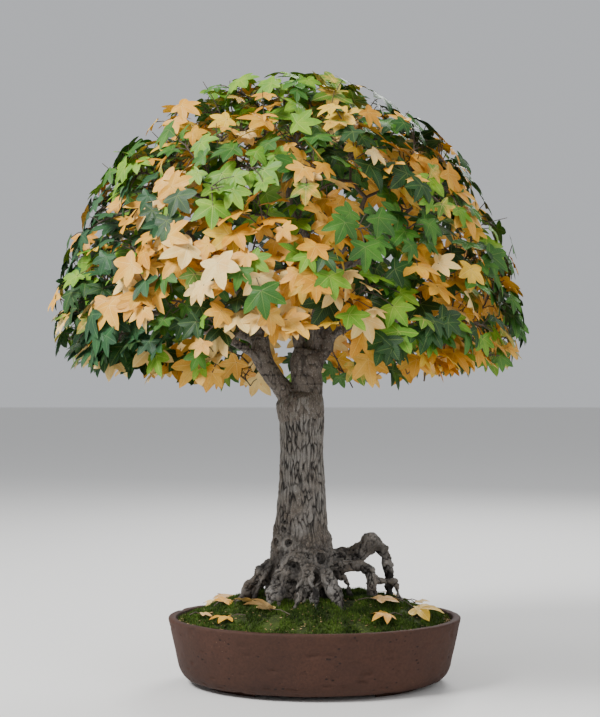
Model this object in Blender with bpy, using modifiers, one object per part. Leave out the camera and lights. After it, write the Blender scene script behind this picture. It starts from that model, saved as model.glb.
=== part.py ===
"""A bonsai sweetgum in a shallow oval clay pot. Metres, +Z up.

The origin is on the ground under the middle of the tree, +X is to the right in the front view and -Y is to the front.
The trunk stands on a mound of soil in the pot. Its boughs end where they enter the masses of leaves, and each mass is
twigs that fork from one stem, with star leaves sunk in them. Masses keep to their own space in a dome.
"""

import math
import random

import bmesh
import bpy
from mathutils import Matrix, Vector
from mathutils.bvhtree import BVHTree
from mathutils.geometry import interpolate_bezier

GAP = 0.0003
MM = 0.001

# The pot: a turned profile drawn out of round, with two wide notches in its foot
POT_LENGTH = 0.437
POT_DEPTH = 0.312
POT_HEIGHT = 0.098
POT_X = 0.038
POT_WALL = 0.012
POT_FLOOR = 0.012
WALL_LEAN = 0.022
WALL_ROUND = 0.014
WALL_ROUND_HEIGHT = 0.022
FOOT_HEIGHT = 0.007
FOOT_INSET = 0.050
FOOT_WIDTH = 0.024
FOOT_NOTCH = 0.171
OVAL = POT_DEPTH / POT_LENGTH
ROUND_STEPS = 32

# The mound: level under the trunk, then falling to the pot's wall
MOUND_TOP = 0.129
MOUND_LEVEL_REACH = 0.085
MOUND_EDGE = 0.093

# How far the heights in the tables below are raised to stand on the mound
RAISE = 0.011

# The leaves' dome: its middle, its reach along each axis, and its shorter reach below the middle
DOME = Vector((0.0, 0.0, 0.511))
DOME_REACH = Vector((0.368, 0.338, 0.420))
DOME_DROP = 0.140
GATE_SHARE = 0.50
INNER_SHARE = 0.55
SPACE_MARGIN = 0.004
TUCK = 0.9
WINDOW_HEIGHT = 0.503
WINDOW_ANGLE = math.radians(19)
RIM_HEIGHT = 0.429
RIM_RISE = 0.038

# Leaves and twigs
LEAF_LENGTH = 0.070
LEAF_THICKNESS = 0.0026
LEAF_DROOP = 0.10
LEAF_ROOT = 0.462
LOBES = ((0, 1.0), (29, 0.44), (57, 0.88), (110, 0.50), (158, 0.13), (180, 0.48))
STEM_RADIUS = 0.0050
TWIG_RADIUS = 0.0026
TWIG_TAPER = 0.78
SIDE_TWIG = 0.72
TWIG_CROSSINGS = 10
LEAF_PLACES = ((0.97, 0), (0.82, 70), (0.66, -74), (0.48, 88), (0.32, -92))
LEAF_TRIES = 70
SEED = 26

# Colours, with roughness
CLAY = (0.085, 0.036, 0.026, 1.0), 0.75
MOSS = (0.040, 0.085, 0.018, 1.0), 0.95
BARK = (0.30, 0.29, 0.28, 1.0), 0.85
DARK_BARK = (0.13, 0.115, 0.105, 1.0), 0.80
GREEN = (0.055, 0.150, 0.030, 1.0), 0.50
FRESH = (0.260, 0.360, 0.040, 1.0), 0.50
AMBER = (0.640, 0.330, 0.080, 1.0), 0.60


def clear_scene():
    for obj in list(bpy.data.objects):
        bpy.data.objects.remove(obj, do_unlink=True)


def new_collection(name, hidden=False):
    made = bpy.data.collections.new(name)
    bpy.context.scene.collection.children.link(made)
    made.hide_render = hidden
    return made


def new_material(name, look):
    made = bpy.data.materials.new(name)
    made.use_nodes = True
    shader = made.node_tree.nodes["Principled BSDF"]
    shader.inputs["Base Color"].default_value = look[0]
    shader.inputs["Roughness"].default_value = look[1]
    return made


def add_object(name, data, collection):
    obj = bpy.data.objects.new(name, data)
    collection.objects.link(obj)
    return obj


def remove(obj):
    data = obj.data
    bpy.data.objects.remove(obj, do_unlink=True)
    if isinstance(data, bpy.types.Mesh):
        bpy.data.meshes.remove(data)
    else:
        bpy.data.curves.remove(data)


def finished_mesh(obj):
    """The mesh that the object shows, with its modifiers."""
    bpy.context.view_layer.update()
    graph = bpy.context.evaluated_depsgraph_get()
    return bpy.data.meshes.new_from_object(obj.evaluated_get(graph))


def apply_modifiers(obj):
    mesh = finished_mesh(obj)
    obj.modifiers.clear()
    old = obj.data
    obj.data = mesh
    bpy.data.meshes.remove(old)


def edit(obj, change):
    """Runs change on the object's mesh as a bmesh."""
    bm = bmesh.new()
    bm.from_mesh(obj.data)
    change(bm)
    bm.to_mesh(obj.data)
    bm.free()


def weld_outwards(bm):
    bmesh.ops.remove_doubles(bm, verts=bm.verts, dist=1e-6)
    bmesh.ops.recalc_face_normals(bm, faces=bm.faces)


def keep_largest(bm):
    """Drops loose scraps, and the inner walls of sealed hollows, which fills them."""
    bodies, seen = [], set()
    for first in bm.verts:
        if first in seen:
            continue
        seen.add(first)
        body, waiting = [], [first]
        while waiting:
            vert = waiting.pop()
            body.append(vert)
            for edge in vert.link_edges:
                other = edge.other_vert(vert)
                if other not in seen:
                    seen.add(other)
                    waiting.append(other)
        bodies.append(body)

    def volume(body):
        faces = {face for vert in body for face in vert.link_faces}
        return sum(face.calc_center_median().dot(face.normal) * face.calc_area() for face in faces)

    bodies.sort(key=volume)
    scraps = [vert for body in bodies[:-1] for vert in body]
    if scraps:
        bmesh.ops.delete(bm, geom=scraps, context="VERTS")


def boolean(obj, operation, others, solver="EXACT"):
    """One Boolean with all the other objects, applied. The others are then removed."""
    group = new_collection("tools", hidden=True)
    for other in others:
        for home in list(other.users_collection):
            home.objects.unlink(other)
        group.objects.link(other)
    made = obj.modifiers.new(operation.lower(), "BOOLEAN")
    made.operation = operation
    made.operand_type = "COLLECTION"
    made.collection = group
    made.solver = solver
    apply_modifiers(obj)
    for other in others:
        remove(other)
    bpy.data.collections.remove(group)
    obj.data.materials.clear()
    edit(obj, keep_largest)


def smooth_line(knots, steps):
    """A smooth run of (place, radius) through hand-set knots of x, y, z and radius in millimetres."""
    knots = [Vector(knot) * MM + Vector((0, 0, RAISE, 0)) for knot in knots]
    ends = [2 * knots[0] - knots[1], *knots, 2 * knots[-1] - knots[-2]]
    line = []
    for before, start, end, after in zip(ends, ends[1:], ends[2:], ends[3:]):
        for step in range(steps):
            t = step / steps
            lead = start + (end - start) * t
            bend = (start - before) * (t * (1 - t) ** 2) - (after - end) * (t * t * (1 - t))
            pull = (end - start) * (t * (1 - t) * (2 * t - 1))
            line.append(lead + (bend + pull) * 0.5)
    line.append(knots[-1])
    return [(Vector(knot[:3]), knot[3]) for knot in line]


def bent_line(start, start_way, end, end_way, radii, steps):
    """A run of (place, radius) from start to end, leaving and arriving along the given ways."""
    places = interpolate_bezier(start, start + start_way, end - end_way, end, steps)
    first, last = radii
    return [(place, first + (last - first) * i / (steps - 1)) for i, place in enumerate(places)]


def fatter(line, by):
    """The line of a limb that is larger all round by a small amount."""
    way = (line[-1][0] - line[-2][0]).normalized()
    wide = [(place, radius + by) for place, radius in line]
    return wide[:-1] + [(wide[-1][0] + way * by, wide[-1][1])]


def tube(name, line, sides, collection):
    """A tapering limb along a line of (place, radius): a curve with a bevel and filled caps, made a mesh."""
    curve = bpy.data.curves.new(name, "CURVE")
    curve.dimensions = "3D"
    curve.use_fill_caps = True
    if sides == 3:
        curve.bevel_mode = "OBJECT"
        curve.bevel_object = three_sided
    else:
        curve.bevel_depth = 1.0
        curve.bevel_resolution = sides // 2 - 2
    spline = curve.splines.new("POLY")
    spline.points.add(len(line) - 1)
    for point, (place, radius) in zip(spline.points, line):
        point.co = (*place, 1)
        point.radius = radius
    guide = add_object(name + "_guide", curve, collection)
    mesh = finished_mesh(guide)
    remove(guide)
    obj = add_object(name, mesh, collection)
    edit(obj, weld_outwards)
    return obj


def triangle_profile():
    """A three-cornered bevel profile of radius 1, for twigs."""
    curve = bpy.data.curves.new("three_sided", "CURVE")
    curve.dimensions = "2D"
    spline = curve.splines.new("POLY")
    spline.points.add(2)
    spline.use_cyclic_u = True
    for i, point in enumerate(spline.points):
        turn = i * math.tau / 3
        point.co = (math.cos(turn), math.sin(turn), 0, 1)
    obj = add_object("three_sided", curve, guides)
    obj.hide_render = True
    return obj


def turned(name, profile, collection):
    """A closed profile that starts and ends on the axis, turned round it and drawn out of round."""
    mesh = bpy.data.meshes.new(name)
    bm = bmesh.new()
    corners = [bm.verts.new((out, 0, up)) for out, up in profile]
    for near, far in zip(corners, corners[1:]):
        bm.edges.new((near, far))
    bm.to_mesh(mesh)
    bm.free()
    obj = add_object(name, mesh, collection)
    turn = obj.modifiers.new("turn", "SCREW")
    turn.steps = turn.render_steps = ROUND_STEPS
    turn.use_merge_vertices = True
    turn.merge_threshold = 0.0001
    apply_modifiers(obj)
    obj.data.transform(Matrix.Translation((POT_X, 0, 0)) @ Matrix.Diagonal((1, OVAL, 1, 1)))
    return obj


def wall_out(height):
    """Half the pot's outer length at a height: nearly upright, then rounded under."""
    top = POT_LENGTH / 2
    lean = WALL_LEAN * (1 - height / POT_HEIGHT)
    low = max(0.0, 1 - (height - FOOT_HEIGHT) / WALL_ROUND_HEIGHT)
    return top - lean - WALL_ROUND * (1 - math.sqrt(1 - low * low))


def make_pot():
    half = POT_LENGTH / 2
    rim = 0.002
    heights = [0.007, 0.010, 0.016, 0.025, 0.040, POT_HEIGHT - rim]
    outer = [(wall_out(z), z) for z in reversed(heights)]
    inner = [(wall_out(z) - POT_WALL, z) for z in heights if z > FOOT_HEIGHT + POT_FLOOR]
    profile = [(0, FOOT_HEIGHT + POT_FLOOR), (half - 0.045, FOOT_HEIGHT + POT_FLOOR)]
    profile += inner + [(half - POT_WALL + rim, POT_HEIGHT), (half - rim, POT_HEIGHT)] + outer
    foot = half - FOOT_INSET
    profile += [(foot, FOOT_HEIGHT), (foot - 0.002, 0), (foot - FOOT_WIDTH, 0)]
    profile += [(foot - FOOT_WIDTH - 0.002, FOOT_HEIGHT), (0, FOOT_HEIGHT)]
    pot = turned("pot", profile, parts)
    bpy.ops.mesh.primitive_cube_add(size=1, location=(POT_X, 0, 0))
    notch = bpy.context.object
    notch.data.transform(Matrix.Diagonal((FOOT_NOTCH, 2 * POT_DEPTH, 2 * FOOT_HEIGHT, 1)))
    boolean(pot, "DIFFERENCE", [notch])
    pot.data.materials.append(new_material("red_brown_clay", CLAY))
    return pot


def ground_height(out):
    """The mound's height at a distance along the pot's length from its middle."""
    edge = POT_LENGTH / 2 - POT_WALL
    share = min(1.0, max(0.0, (out - MOUND_LEVEL_REACH) / (edge - MOUND_LEVEL_REACH)))
    return MOUND_EDGE + (MOUND_TOP - MOUND_EDGE) * (1 - share * share * (2.2 - 1.2 * share))


def mound_top(raised):
    edge = POT_LENGTH / 2 - POT_WALL
    outs = [MOUND_LEVEL_REACH + (edge - MOUND_LEVEL_REACH) * i / 4 for i in range(4)]
    return [(0, MOUND_TOP + raised)] + [(out, ground_height(out) + raised) for out in outs]


def make_mound():
    inner = POT_WALL + GAP
    floor = FOOT_HEIGHT + POT_FLOOR + GAP
    sides = [(wall_out(z) - inner, z) for z in (MOUND_EDGE, 0.040, 0.025)]
    profile = mound_top(0) + sides + [(POT_LENGTH / 2 - 0.046, floor), (0, floor)]
    mound = turned("soil_mound", profile, parts)
    mound.data.materials.append(new_material("moss", MOSS))
    return mound


def ground_tool():
    """Everything below a face that is a gap above the mound."""
    return turned("ground", mound_top(GAP) + [(0.40, MOUND_EDGE), (0.40, -0.05), (0, -0.05)], guides)


# The trunk's middle line and radius, from under the ground to its fork, in millimetres
TRUNK = (
    (19, 0, 96, 60),
    (19, 0, 125, 55),
    (20, 0, 155, 50),
    (19, 0, 191, 47),
    (18, 0, 214, 41.5),
    (19, 0, 240, 38),
    (19.5, 0, 275, 35.5),
    (19, 0, 332, 32.5),
    (19, 0, 378, 34),
    (16, 0, 404, 36),
    (14, 0, 414, 31),
    (13, 0, 420, 20),
)
# Surface roots, each from inside the flare to its tip
ROOTS = {
    "left": ((-2, -6, 172, 14), (-30, -14, 160, 12), (-52, -20, 134, 11), (-70, -26, 112, 8), (-84, -32, 92, 5)),
    "left_front": ((4, -20, 160, 14), (-12, -42, 136, 13), (-24, -58, 112, 9), (-34, -70, 92, 6)),
    "front": ((38, -26, 168, 11), (52, -46, 150, 11), (66, -62, 130, 10), (76, -74, 112, 7), (84, -84, 92, 5)),
    "front_finger": ((44, -40, 150, 6), (40, -58, 134, 5), (36, -70, 112, 4), (34, -76, 92, 3)),
    "right": ((44, -10, 160, 12), (80, -18, 163, 8.5), (106, -20, 161, 8), (122, -22, 146, 7), (124, -26, 96, 5)),
    "right_far": ((104, -20, 160, 6), (128, -14, 141, 5), (154, -12, 137, 4.5), (164, -14, 120, 4), (170, -16, 88, 3)),
    "arch": ((40, 10, 166, 14), (72, 14, 168, 12.5), (100, 16, 174, 12), (117, 16, 188, 11), (124, 16, 196, 9.5),
             (137, 14, 189, 7), (149, 12, 162, 6), (152, 10, 90, 5)),
    "back_right": ((30, 24, 160, 15), (52, 50, 142, 12), (70, 72, 116, 9), (82, 86, 86, 6)),
    "back": ((12, 26, 158, 14), (4, 56, 140, 11), (-6, 82, 112, 8), (-12, 96, 84, 5)),
    "back_left": ((0, 16, 160, 14), (-30, 34, 142, 12), (-56, 50, 114, 8), (-74, 60, 84, 5)),
}
# Ringed scars on the flare: azimuth and height of the middle, and the ring's radius, in degrees and millimetres
SCARS = ((-140, 199, 8.5), (-113, 199, 8.5), (-128, 219, 6.5), (-104, 166, 14), (-72, 150, 16), (-58, 176, 10))


def radius_at(height):
    for low, high in zip(TRUNK, TRUNK[1:]):
        if low[2] <= height <= high[2]:
            share = (height - low[2]) / (high[2] - low[2])
            return low[3] + (high[3] - low[3]) * share
    return TRUNK[-1][3]


def make_scar(index, azimuth, height, size):
    """A low ring that stands out of the trunk."""
    turn = math.radians(azimuth)
    out = Vector((math.cos(turn), math.sin(turn), 0))
    middle = Vector((TRUNK[3][0], TRUNK[3][1], height)) * MM + out * radius_at(height) * MM * 0.97
    middle.z += RAISE
    bpy.ops.mesh.primitive_torus_add(
        major_radius=size * MM,
        minor_radius=size * 0.42 * MM,
        major_segments=7,
        minor_segments=4,
        location=middle,
        rotation=out.to_track_quat("Z", "Y").to_euler(),
    )
    ring = bpy.context.object
    ring.name = f"scar_{index}"
    bpy.ops.object.transform_apply(rotation=True, location=True)
    return ring


def make_trunk():
    trunk = tube("trunk", smooth_line(TRUNK, 1), 12, parts)
    joined = [tube("root_" + name, smooth_line(run, 1), 6, guides) for name, run in ROOTS.items()]
    joined += [make_scar(i, *scar) for i, scar in enumerate(SCARS)]
    boolean(trunk, "UNION", joined, "MANIFOLD")
    boolean(trunk, "DIFFERENCE", [ground_tool()])
    trunk.data.materials.append(new_material("grey_bark", BARK))
    return trunk


# The main limbs, in the order they are made: middle line and radius in millimetres. Each starts inside the one it
# grows from and is cut clear of it
LIMBS = {
    "centre_limb": ((24, 0, 392, 22), (28, -1, 424, 23), (26, -2, 446, 23.5), (26, -2, 464, 25), (28, 0, 482, 21)),
    "left_bough": ((8, -2, 392, 15), (-2, -4, 414, 15.5), (-20, -6, 438, 14.5), (-34, -7, 458, 14.5),
                   (-42, -6, 478, 15.5), (-42, -4, 503, 12)),
    "middle_riser": ((36, 0, 468, 12.5), (40, 0, 500, 12), (46, -3, 548, 10.5), (50, 0, 592, 8.5)),
    "left_riser": ((19, 2, 468, 10), (14, 5, 502, 9.5), (5, 10, 548, 8), (0, 16, 592, 7)),
    "right_riser": ((40, -4, 462, 9), (55, -5, 482, 9), (61, -4, 504, 8), (67, 0, 529, 7)),
}
# Each mass: ring and azimuth of its middle, the limb that carries it, where along that limb its bough starts, and the
# bough's radius there in millimetres
MASSES = {
    "low_front": ("low", -90, "middle_riser", 0.55, 6.5),
    "low_front_right": ("low", -38.6, "right_riser", 0.45, 5.5),
    "low_right": ("low", 12.9, "right_riser", 0.93, 6.0),
    "low_back_right": ("low", 64.3, "right_riser", 0.70, 5.5),
    "low_back_left": ("low", 115.7, "left_bough", 0.88, 7.0),
    "low_left": ("low", 167.1, "left_bough", 0.80, 7.0),
    "low_front_left": ("low", -141.4, "left_bough", 0.52, 6.5),
    "high_front_right": ("high", -54, "middle_riser", 0.80, 6.0),
    "high_right": ("high", 18, "middle_riser", 0.90, 6.0),
    "high_back": ("high", 90, "left_riser", 0.82, 5.5),
    "high_left": ("high", 162, "left_bough", 0.97, 8.0),
    "high_front_left": ("high", -126, "left_riser", 0.70, 5.5),
    "top": ("top", 0, "middle_riser", 0.98, 7.0),
}
# Each ring: lowest and highest elevation, half its masses' width in azimuth, elevation of the gates, and shoots a mass
RINGS = {
    "low": (-44, 24, 180 / 7, 5, 6),
    "high": (24, 56, 180 / 5, 40, 5),
    "top": (56, 90, 180, 90, 8),
}
COLOURS = {"low": AMBER, "high": GREEN, "top": FRESH}


def dome_point(azimuth, elevation, share):
    """The place in the dome at angles in radians and a share of its reach from the middle."""
    flat = math.cos(elevation) * share
    up = math.sin(elevation) * share
    rise = DOME_REACH.z if up > 0 else DOME_DROP
    spot = (DOME_REACH.x * flat * math.cos(azimuth), DOME_REACH.y * flat * math.sin(azimuth), rise * up)
    return DOME + Vector(spot)


def dome_place(point):
    """Azimuth, elevation and share of reach of a point in the dome."""
    p = point - DOME
    x, y = p.x / DOME_REACH.x, p.y / DOME_REACH.y
    z = p.z / (DOME_REACH.z if p.z > 0 else DOME_DROP)
    share = math.sqrt(x * x + y * y + z * z)
    return math.atan2(y, x), math.asin(max(-1.0, min(1.0, z / max(share, 1e-9)))), share


def outward(point):
    """The dome's outward direction at a point."""
    p = point - DOME
    rise = DOME_REACH.z if p.z > 0 else DOME_REACH.x
    return Vector((p.x / DOME_REACH.x**2, p.y / DOME_REACH.y**2, p.z / rise**2)).normalized()


def angle_between(a, b):
    return (a - b + math.pi) % math.tau - math.pi


def rim_height(azimuth):
    """How low the leaves hang: higher at both sides than in front and behind, and highest before the fork."""
    if abs(angle_between(azimuth, -math.pi / 2)) < WINDOW_ANGLE:
        return WINDOW_HEIGHT
    return RIM_HEIGHT + RIM_RISE * math.cos(azimuth) ** 2


def in_space(point, mass):
    """Whether a point is in the mass's own space. Borders slant, so that a mass tucks under the next one up."""
    ring, middle = MASSES[mass][:2]
    low, high, half = (math.radians(value) for value in RINGS[ring][:3])
    azimuth, elevation, share = dome_place(point)
    if not INNER_SHARE < share < 1.0:
        return False
    slant = TUCK * (share - 0.85)
    elevation += slant
    edge = SPACE_MARGIN
    if elevation > high - edge and ring != "top" or elevation < low + edge:
        return False
    if ring != "top" and abs(angle_between(azimuth + slant, math.radians(middle))) > half - edge:
        return False
    return ring != "low" or point.z > rim_height(azimuth)


def line_at(line, share):
    """The place and direction at a share of a limb's length."""
    spot = share * (len(line) - 1)
    i = min(int(spot), len(line) - 2)
    way = line[i + 1][0] - line[i][0]
    return line[i][0] + way * (spot - i), way.normalized()


def tree_of(obj):
    return BVHTree.FromPolygons([v.co.copy() for v in obj.data.vertices], [p.vertices[:] for p in obj.data.polygons])


def make_limb(name, line, sides, look, limbs):
    """A limb cut clear of every earlier limb that it starts in. limbs holds the earlier ones' lines and sides."""
    limb = tube(name, line, sides, parts)
    for other, (other_line, other_sides) in limbs.items():
        tool = tube("tool_" + other, fatter(other_line, GAP), other_sides, guides)
        if tree_of(limb).overlap(tree_of(tool)):
            boolean(limb, "DIFFERENCE", [tool])
        else:
            remove(tool)
    limb.data.materials.append(new_material(name + "_bark", look))
    limbs[name] = (line, sides)
    return limb


def gate_of(mass):
    """Where a mass's stem meets its bough, and the way outwards there."""
    ring, azimuth = MASSES[mass][:2]
    elevation = math.radians(RINGS[ring][3])
    if mass == "low_front":
        elevation += math.radians(14)
    gate = dome_point(math.radians(azimuth), elevation, GATE_SHARE)
    return gate, (gate - DOME * 0.92).normalized()


def make_limbs():
    limbs = {"trunk": (smooth_line(TRUNK, 1), 12)}
    made = {name: make_limb(name, smooth_line(run, 2), 8, DARK_BARK, limbs) for name, run in LIMBS.items()}
    for mass, (ring, azimuth, parent, share, thick) in MASSES.items():
        start, way = line_at(limbs[parent][0], share)
        gate, out = gate_of(mass)
        last = gate - out * 0.006
        reach = (last - start).length
        lead = way * 0.30 * reach + out * 0.06 * reach
        line = bent_line(start, lead, last, out * 0.34 * reach, (thick * MM, STEM_RADIUS), 5)
        line.append((gate, STEM_RADIUS))
        made["bough_" + mass] = make_limb("bough_" + mass, line, 6, DARK_BARK, limbs)
    return made


def leaf_shape(length):
    """A flat star: a double cone whose rim is pulled out into five lobes. It points along +X."""
    bm = bmesh.new()
    corners = 2 * len(LOBES) - 2
    bmesh.ops.create_cone(
        bm, cap_ends=True, cap_tris=True, segments=corners, radius1=1, radius2=0, depth=LEAF_THICKNESS
    )
    order = LOBES + tuple((360 - turn, out) for turn, out in reversed(LOBES[1:-1]))
    rim = [v for v in bm.verts if v.co.xy.length > 0.5]
    rim.sort(key=lambda v: math.atan2(v.co.y, v.co.x) % math.tau)
    for vert, (turn, out) in zip(rim, order):
        angle = math.radians(turn)
        fall = LEAF_DROOP * out * out
        spot = Vector((math.cos(angle) * out + LEAF_ROOT, math.sin(angle) * out, -fall))
        vert.co = spot * length
    for vert in bm.verts:
        if vert not in rim:
            vert.co.x = LEAF_ROOT * length
    return bm


def leaf_frame(point, forward, fan, rise, roll):
    """A leaf's place and turn: it lies on the dome, fanned from forward, tipped up by rise, and rolled."""
    up = outward(point)
    ahead = (forward - up * forward.dot(up)).normalized()
    side = up.cross(ahead)
    along = ahead * math.cos(fan) + side * math.sin(fan)
    along = along * math.cos(rise) + up * math.sin(rise)
    across = up.cross(along).normalized()
    face = along.cross(across)
    turn = Matrix((along, across, face)).transposed().to_4x4()
    return Matrix.Translation(point) @ turn @ Matrix.Rotation(roll, 4, "X")


class Leaves:
    """All leaves placed so far, so that a new one can keep clear of them, of the limbs and of other twigs."""

    def __init__(self, limbs):
        self.limbs = [tree_of(limb) for limb in limbs]
        self.placed = []

    def fits(self, bm, middle, twigs, own):
        """The leaf's tree where it is clear of everything but the twig that bears it, or None."""
        tree = BVHTree.FromBMesh(bm)
        near = [other for place, other in self.placed if (place - middle).length < 2.2 * LEAF_LENGTH]
        if any(tree.overlap(other) for other in near + twigs + self.limbs):
            return None
        return tree if 0 < len(tree.overlap(own)) <= TWIG_CROSSINGS else None

    def try_leaf(self, draw, mass, point, forward, fan, twigs, own):
        """A leaf rooted at the point, or None where none fits."""
        for attempt in range(LEAF_TRIES):
            loose = attempt / LEAF_TRIES
            length = LEAF_LENGTH * draw.uniform(0.9, 1.1) * (1 - 0.25 * loose)
            turn = fan + math.radians(draw.uniform(-1, 1) * (15 + 110 * loose))
            rise = math.radians(draw.uniform(-8, 24 + 10 * loose))
            roll = math.radians(draw.uniform(-1, 1) * (15 + 15 * loose))
            bm = leaf_shape(length)
            bm.transform(leaf_frame(point, forward, turn, rise, roll))
            bm.verts.ensure_lookup_table()
            if all(in_space(v.co, mass) for v in bm.verts):
                middle = sum((v.co for v in bm.verts), Vector()) / len(bm.verts)
                tree = self.fits(bm, middle, twigs, own)
                if tree:
                    self.placed.append((middle, tree))
                    mesh = bpy.data.meshes.new("leaf")
                    bm.normal_update()
                    bm.to_mesh(mesh)
                    bm.free()
                    return add_object("leaf", mesh, guides)
            bm.free()
        return None


def shoot_tips(draw, mass, taken):
    """Evenly spread places for the tips of a mass's twigs, each the furthest of several draws from the others."""
    ring, middle = MASSES[mass][:2]
    low, high, half = (math.radians(value) for value in RINGS[ring][:3])
    tips = []
    for _ in range(RINGS[ring][4]):
        best, room = None, -1
        for _ in range(60):
            share = draw.uniform(0.80, 0.93)
            azimuth = math.radians(middle) + draw.uniform(-half, half) - TUCK * (share - 0.85)
            elevation = math.asin(draw.uniform(math.sin(low), math.sin(high))) - TUCK * (share - 0.85)
            spot = dome_point(azimuth, elevation, share)
            if not in_space(spot, mass):
                continue
            least = min([(spot - other).length for other in taken + tips], default=1.0)
            if least > room:
                best, room = spot, least
        tips.append(best)
    return tips


def halves(spots):
    """The spots in two lots, split across their widest spread."""
    widest = max(range(3), key=lambda k: max(s[k] for s in spots) - min(s[k] for s in spots))
    spots = sorted(spots, key=lambda s: s[widest])
    return spots[: len(spots) // 2], spots[len(spots) // 2 :]


def fork(line, tips, runs):
    """Carries a twig on to one tip. Wherever its tips part in two lots, a thinner side twig leaves it for one lot."""
    place, thick = line[-1]
    if len(tips) == 1:
        tip = tips[0]
        bend = place.lerp(tip, 0.55) + outward(tip) * 0.006
        runs.append(line + [(bend, (thick + TWIG_RADIUS) / 2), (tip, TWIG_RADIUS * 0.9)])
        return
    middle = sum(tips, Vector()) / len(tips)
    node = place.lerp(middle, 0.38 if len(tips) > 3 else 0.30)
    thick = max(TWIG_RADIUS, thick * TWIG_TAPER)
    on, off = halves(tips)
    fork(line + [(node, thick)], on, runs)
    fork([(node, max(TWIG_RADIUS, thick * SIDE_TWIG))], off, runs)


def make_mass(draw, mass, leaves, taken):
    ring = MASSES[mass][0]
    gate, out = gate_of(mass)
    tips = shoot_tips(draw, mass, taken)
    taken += tips
    runs = []
    fork([(gate + out * GAP, STEM_RADIUS), (gate + out * 0.035, STEM_RADIUS * 0.85)], tips, runs)
    twigs = [tube("twig", line, 3, guides) for line in runs]
    trees = [tree_of(twig) for twig in twigs]
    grown = []
    for twig, (line, own) in enumerate(zip(runs, trees)):
        others = trees[:twig] + trees[twig + 1 :]
        last = line[-3:]
        for share, fan in LEAF_PLACES:
            point, way = line_at(last, share)
            forward = way + Vector((0, 0, -0.6))
            leaf = leaves.try_leaf(draw, mass, point, forward, math.radians(fan), others, own)
            if leaf:
                grown.append(leaf)
    body = twigs.pop(0)
    guides.objects.unlink(body)
    parts.objects.link(body)
    body.name = "foliage_" + mass
    boolean(body, "UNION", twigs + grown, "MANIFOLD")
    body.data.materials.append(new_material(mass + "_leaves", COLOURS[ring]))
    return body


def centre(objects):
    """Moves everything so that the origin is on the ground under the middle of the whole."""
    spots = [vert.co for obj in objects for vert in obj.data.vertices]
    middle = [(min(spot[k] for spot in spots) + max(spot[k] for spot in spots)) / 2 for k in range(2)]
    for obj in objects:
        obj.location -= Vector((*middle, 0))


clear_scene()
parts = new_collection("bonsai_sweetgum")
guides = new_collection("guides")
three_sided = triangle_profile()
make_pot()
make_mound()
trunk = make_trunk()
limbs = make_limbs()
leaves = Leaves([trunk, *limbs.values()])
draw = random.Random(SEED)
taken = []
for mass in MASSES:
    make_mass(draw, mass, leaves, taken)
centre(parts.objects)
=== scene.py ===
"""The look of a bonsai sweetgum in an oval clay pot: bark, twigs, star leaves, moss and clay."""

import math
import random

import bmesh
import bpy
import numpy as np
from mathutils import Matrix, Vector, noise


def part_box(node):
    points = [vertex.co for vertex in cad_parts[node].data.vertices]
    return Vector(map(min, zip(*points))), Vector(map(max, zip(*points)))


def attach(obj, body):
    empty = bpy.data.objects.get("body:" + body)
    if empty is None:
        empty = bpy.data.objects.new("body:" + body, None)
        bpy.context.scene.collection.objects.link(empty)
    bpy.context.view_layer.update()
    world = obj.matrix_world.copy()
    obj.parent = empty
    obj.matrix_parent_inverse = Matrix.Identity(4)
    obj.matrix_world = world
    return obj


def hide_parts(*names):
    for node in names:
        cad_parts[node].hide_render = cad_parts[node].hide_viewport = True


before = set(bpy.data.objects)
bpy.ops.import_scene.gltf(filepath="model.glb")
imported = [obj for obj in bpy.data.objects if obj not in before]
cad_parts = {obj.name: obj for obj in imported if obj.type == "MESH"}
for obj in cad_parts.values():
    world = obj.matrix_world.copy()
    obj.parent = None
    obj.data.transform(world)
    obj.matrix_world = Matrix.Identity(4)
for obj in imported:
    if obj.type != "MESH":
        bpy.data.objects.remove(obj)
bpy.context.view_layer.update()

MM = 0.001
draw = random.Random(11)
noise.seed_set(11)

# The pot, the mound and the leaves' dome, as the solids have them
POT_LENGTH = 0.437
POT_DEPTH = 0.312
POT_HEIGHT = 0.098
POT_X = 0.038
POT_WALL = 0.012
POT_FLOOR = 0.012
WALL_LEAN = 0.022
WALL_ROUND = 0.014
WALL_ROUND_HEIGHT = 0.022
FOOT_HEIGHT = 0.007
FOOT_INSET = 0.050
FOOT_WIDTH = 0.024
FOOT_NOTCH = 0.171
OVAL = POT_DEPTH / POT_LENGTH
MOUND_TOP = 0.129
MOUND_LEVEL_REACH = 0.085
MOUND_EDGE = 0.093
RAISE = 0.011
DOME = Vector((0.0, 0.0, 0.511))
DOME_REACH = Vector((0.368, 0.338, 0.420))
DOME_DROP = 0.140
GATE_SHARE = 0.50
INNER_SHARE = 0.55
TUCK = 0.9
WINDOW_HEIGHT = 0.503
WINDOW_ANGLE = math.radians(19)
RIM_HEIGHT = 0.429
RIM_RISE = 0.038
STEM_RADIUS = 0.0050
TWIG_RADIUS = 0.0011

# The solids stand with their box's middle on the origin, so the tree's own axis is a little off it
pot_low, pot_high = (Vector(corner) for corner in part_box("pot"))
SHIFT = Vector(((pot_low.x + pot_high.x) / 2 - POT_X, (pot_low.y + pot_high.y) / 2, 0))

# The camera, from the fit of the pot's outline
FOCAL_PIXELS = 1285.7
CAMERA = Vector((0.0165, -1.929, 0.4337))
PITCH = math.atan(31.5 / FOCAL_PIXELS)
IMAGE = (600, 717)


def colour(red, green, blue):
    """A linear colour from the 0 to 255 steps that are read off a picture."""
    steps = (red / 255, green / 255, blue / 255)
    return tuple(c / 12.92 if c < 0.04 else ((c + 0.055) / 1.055) ** 2.4 for c in steps) + (1.0,)


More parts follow.
